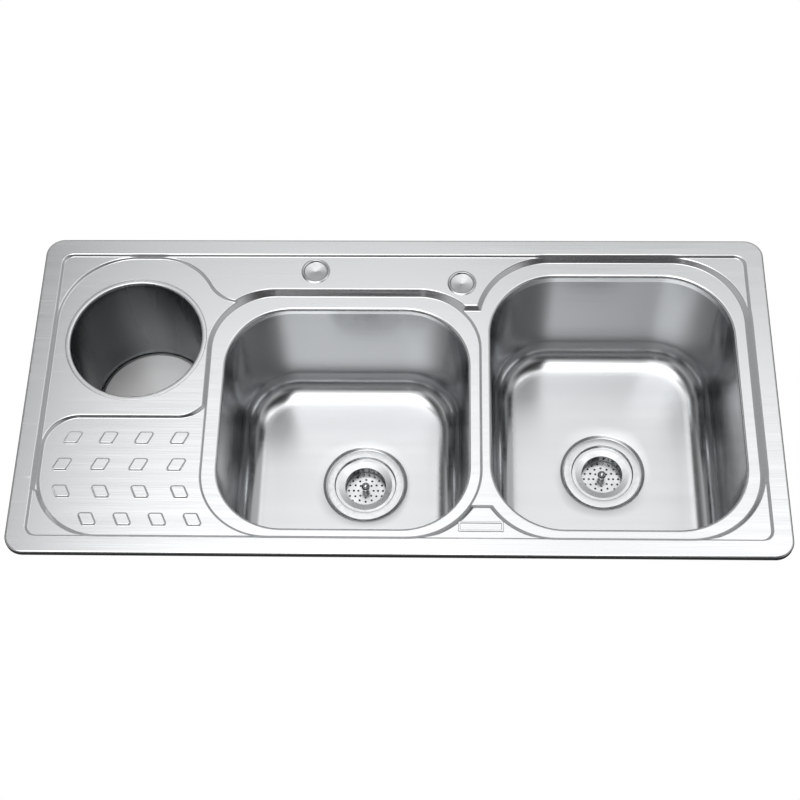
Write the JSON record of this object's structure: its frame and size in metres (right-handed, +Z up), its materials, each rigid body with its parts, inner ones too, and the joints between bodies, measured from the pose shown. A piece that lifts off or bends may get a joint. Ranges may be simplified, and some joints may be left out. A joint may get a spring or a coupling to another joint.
{
  "type": "inset kitchen sink with waste bin",
  "caption": "Inset pressed-steel kitchen sink: centre and right bowls with basket drains, embossed drainer and a lift-out round waste bin, held in a worktop by rim clips.",
  "frame": {"origin": "centre of the rim outline, on the worktop surface the rim rests on", "axes": "+X to the right along the length, +Y to the rear where the tap holes are, +Z up out of the bowls"},
  "size_m": [1, 0.48, 0.2832],
  "materials": {
    "deck_steel": "fine brushed along the length",
    "bowl_steel": "satin, brushed floor",
    "bin_steel": "satin rolled sheet",
    "polished_steel": "polished",
    "zinc_steel": "zinc plated",
    "plaque_satin": "satin, blank",
    "foam_seal": "closed cell foam",
    "damping_pad": "damping sheet",
    "black_rubber": "soft rubber",
    "fibre_washer": "pressed fibre",
    "white_plastic": "moulded"
  },
  "bodies": {
    "sink": {"deck": "deck_steel", "rim_seal": "foam_seal", "plaque": "plaque_satin", "bowl_centre": "bowl_steel", "sound_pad_centre": "damping_pad", "strainer_body_centre": "polished_steel", "drain_top_gasket_centre": "black_rubber", "drain_under_gasket_centre": "black_rubber", "drain_friction_washer_centre": "fibre_washer", "drain_lock_nut_centre": "white_plastic", "bowl_right": "bowl_steel", "sound_pad_right": "damping_pad", "strainer_body_right": "polished_steel", "drain_top_gasket_right": "black_rubber", "drain_under_gasket_right": "black_rubber", "drain_friction_washer_right": "fibre_washer", "drain_lock_nut_right": "white_plastic", "tap_cap_left": "polished_steel", "tap_cap_washer_left": "black_rubber", "tap_cap_plate_left": "zinc_steel", "tap_cap_nut_left": "zinc_steel", "tap_cap_right": "polished_steel", "tap_cap_washer_right": "black_rubber", "tap_cap_plate_right": "zinc_steel", "tap_cap_nut_right": "zinc_steel", "clip_brackets": "zinc_steel"},
    "basket_centre": {"basket_centre": "polished_steel"},
    "stopper_centre": {"stopper_stem_centre": "polished_steel", "stopper_knob_centre": "polished_steel", "stopper_plate_centre": "polished_steel", "stopper_seal_centre": "black_rubber"},
    "basket_right": {"basket_right": "polished_steel"},
    "stopper_right": {"stopper_stem_right": "polished_steel", "stopper_knob_right": "polished_steel", "stopper_plate_right": "polished_steel", "stopper_seal_right": "black_rubber"},
    "waste_bin": {"bin_can": "bin_steel", "bin_base": "bin_steel"},
    "clip_1_claw": {"clip_claw_1": "zinc_steel"},
    "clip_1_screw": {"clip_screw_1": "zinc_steel"},
    "clip_2_claw": {"clip_claw_2": "zinc_steel"},
    "clip_2_screw": {"clip_screw_2": "zinc_steel"},
    "clip_3_claw": {"clip_claw_3": "zinc_steel"},
    "clip_3_screw": {"clip_screw_3": "zinc_steel"},
    "clip_4_claw": {"clip_claw_4": "zinc_steel"},
    "clip_4_screw": {"clip_screw_4": "zinc_steel"},
    "clip_5_claw": {"clip_claw_5": "zinc_steel"},
    "clip_5_screw": {"clip_screw_5": "zinc_steel"},
    "clip_6_claw": {"clip_claw_6": "zinc_steel"},
    "clip_6_screw": {"clip_screw_6": "zinc_steel"},
    "clip_7_claw": {"clip_claw_7": "zinc_steel"},
    "clip_7_screw": {"clip_screw_7": "zinc_steel"},
    "clip_8_claw": {"clip_claw_8": "zinc_steel"},
    "clip_8_screw": {"clip_screw_8": "zinc_steel"}
  },
  "joints": [
    {"name": "basket_centre_lift", "type": "slide", "parent": "sink", "child": "basket_centre", "axis": [0, 0, 1], "range_m": [0, 0.27]},
    {"name": "basket_centre_stopper", "type": "slide", "parent": "basket_centre", "child": "stopper_centre", "axis": [0, 0, 1], "range_m": [0, 0.008]},
    {"name": "basket_right_lift", "type": "slide", "parent": "sink", "child": "basket_right", "axis": [0, 0, 1], "range_m": [0, 0.27]},
    {"name": "basket_right_stopper", "type": "slide", "parent": "basket_right", "child": "stopper_right", "axis": [0, 0, 1], "range_m": [0, 0.008]},
    {"name": "bin_lift", "type": "slide", "parent": "sink", "child": "waste_bin", "axis": [0, 0, 1], "range_m": [0, 0.2]},
    {"name": "clip_1_claw_slide", "type": "slide", "parent": "sink", "child": "clip_1_claw", "axis": [0, 0, -1], "range_m": [0, 0.01]},
    {"name": "clip_1_screw_turn", "type": "hinge", "parent": "clip_1_claw", "child": "clip_1_screw", "pos_m": [-0.33, -0.219, -0.026], "axis": [0, 0, -1], "range_deg": [0, 4500]},
    {"name": "clip_2_claw_slide", "type": "slide", "parent": "sink", "child": "clip_2_claw", "axis": [0, 0, -1], "range_m": [0, 0.01]},
    {"name": "clip_2_screw_turn", "type": "hinge", "parent": "clip_2_claw", "child": "clip_2_screw", "pos_m": [0, -0.219, -0.026], "axis": [0, 0, -1], "range_deg": [0, 4500]},
    {"name": "clip_3_claw_slide", "type": "slide", "parent": "sink", "child": "clip_3_claw", "axis": [0, 0, -1], "range_m": [0, 0.01]},
    {"name": "clip_3_screw_turn", "type": "hinge", "parent": "clip_3_claw", "child": "clip_3_screw", "pos_m": [0.33, -0.219, -0.026], "axis": [0, 0, -1], "range_deg": [0, 4500]},
    {"name": "clip_4_claw_slide", "type": "slide", "parent": "sink", "child": "clip_4_claw", "axis": [0, 0, -1], "range_m": [0, 0.01]},
    {"name": "clip_4_screw_turn", "type": "hinge", "parent": "clip_4_claw", "child": "clip_4_screw", "pos_m": [0.479, 0, -0.026], "axis": [0, 0, -1], "range_deg": [0, 4500]},
    {"name": "clip_5_claw_slide", "type": "slide", "parent": "sink", "child": "clip_5_claw", "axis": [0, 0, -1], "range_m": [0, 0.01]},
    {"name": "clip_5_screw_turn", "type": "hinge", "parent": "clip_5_claw", "child": "clip_5_screw", "pos_m": [0.33, 0.219, -0.026], "axis": [0, 0, -1], "range_deg": [0, 4500]},
    {"name": "clip_6_claw_slide", "type": "slide", "parent": "sink", "child": "clip_6_claw", "axis": [0, 0, -1], "range_m": [0, 0.01]},
    {"name": "clip_6_screw_turn", "type": "hinge", "parent": "clip_6_claw", "child": "clip_6_screw", "pos_m": [0, 0.219, -0.026], "axis": [0, 0, -1], "range_deg": [0, 4500]},
    {"name": "clip_7_claw_slide", "type": "slide", "parent": "sink", "child": "clip_7_claw", "axis": [0, 0, -1], "range_m": [0, 0.01]},
    {"name": "clip_7_screw_turn", "type": "hinge", "parent": "clip_7_claw", "child": "clip_7_screw", "pos_m": [-0.33, 0.219, -0.026], "axis": [0, 0, -1], "range_deg": [0, 4500]},
    {"name": "clip_8_claw_slide", "type": "slide", "parent": "sink", "child": "clip_8_claw", "axis": [0, 0, -1], "range_m": [0, 0.01]},
    {"name": "clip_8_screw_turn", "type": "hinge", "parent": "clip_8_claw", "child": "clip_8_screw", "pos_m": [-0.479, 0, -0.026], "axis": [0, 0, -1], "range_deg": [0, 4500]}
  ],
  "couplings": [
    {"joint": "clip_1_screw_turn", "follows": "clip_1_claw_slide", "rad_per_m": 7854},
    {"joint": "clip_2_screw_turn", "follows": "clip_2_claw_slide", "rad_per_m": 7854},
    {"joint": "clip_3_screw_turn", "follows": "clip_3_claw_slide", "rad_per_m": 7854},
    {"joint": "clip_4_screw_turn", "follows": "clip_4_claw_slide", "rad_per_m": 7854},
    {"joint": "clip_5_screw_turn", "follows": "clip_5_claw_slide", "rad_per_m": 7854},
    {"joint": "clip_6_screw_turn", "follows": "clip_6_claw_slide", "rad_per_m": 7854},
    {"joint": "clip_7_screw_turn", "follows": "clip_7_claw_slide", "rad_per_m": 7854},
    {"joint": "clip_8_screw_turn", "follows": "clip_8_claw_slide", "rad_per_m": 7854}
  ]
}
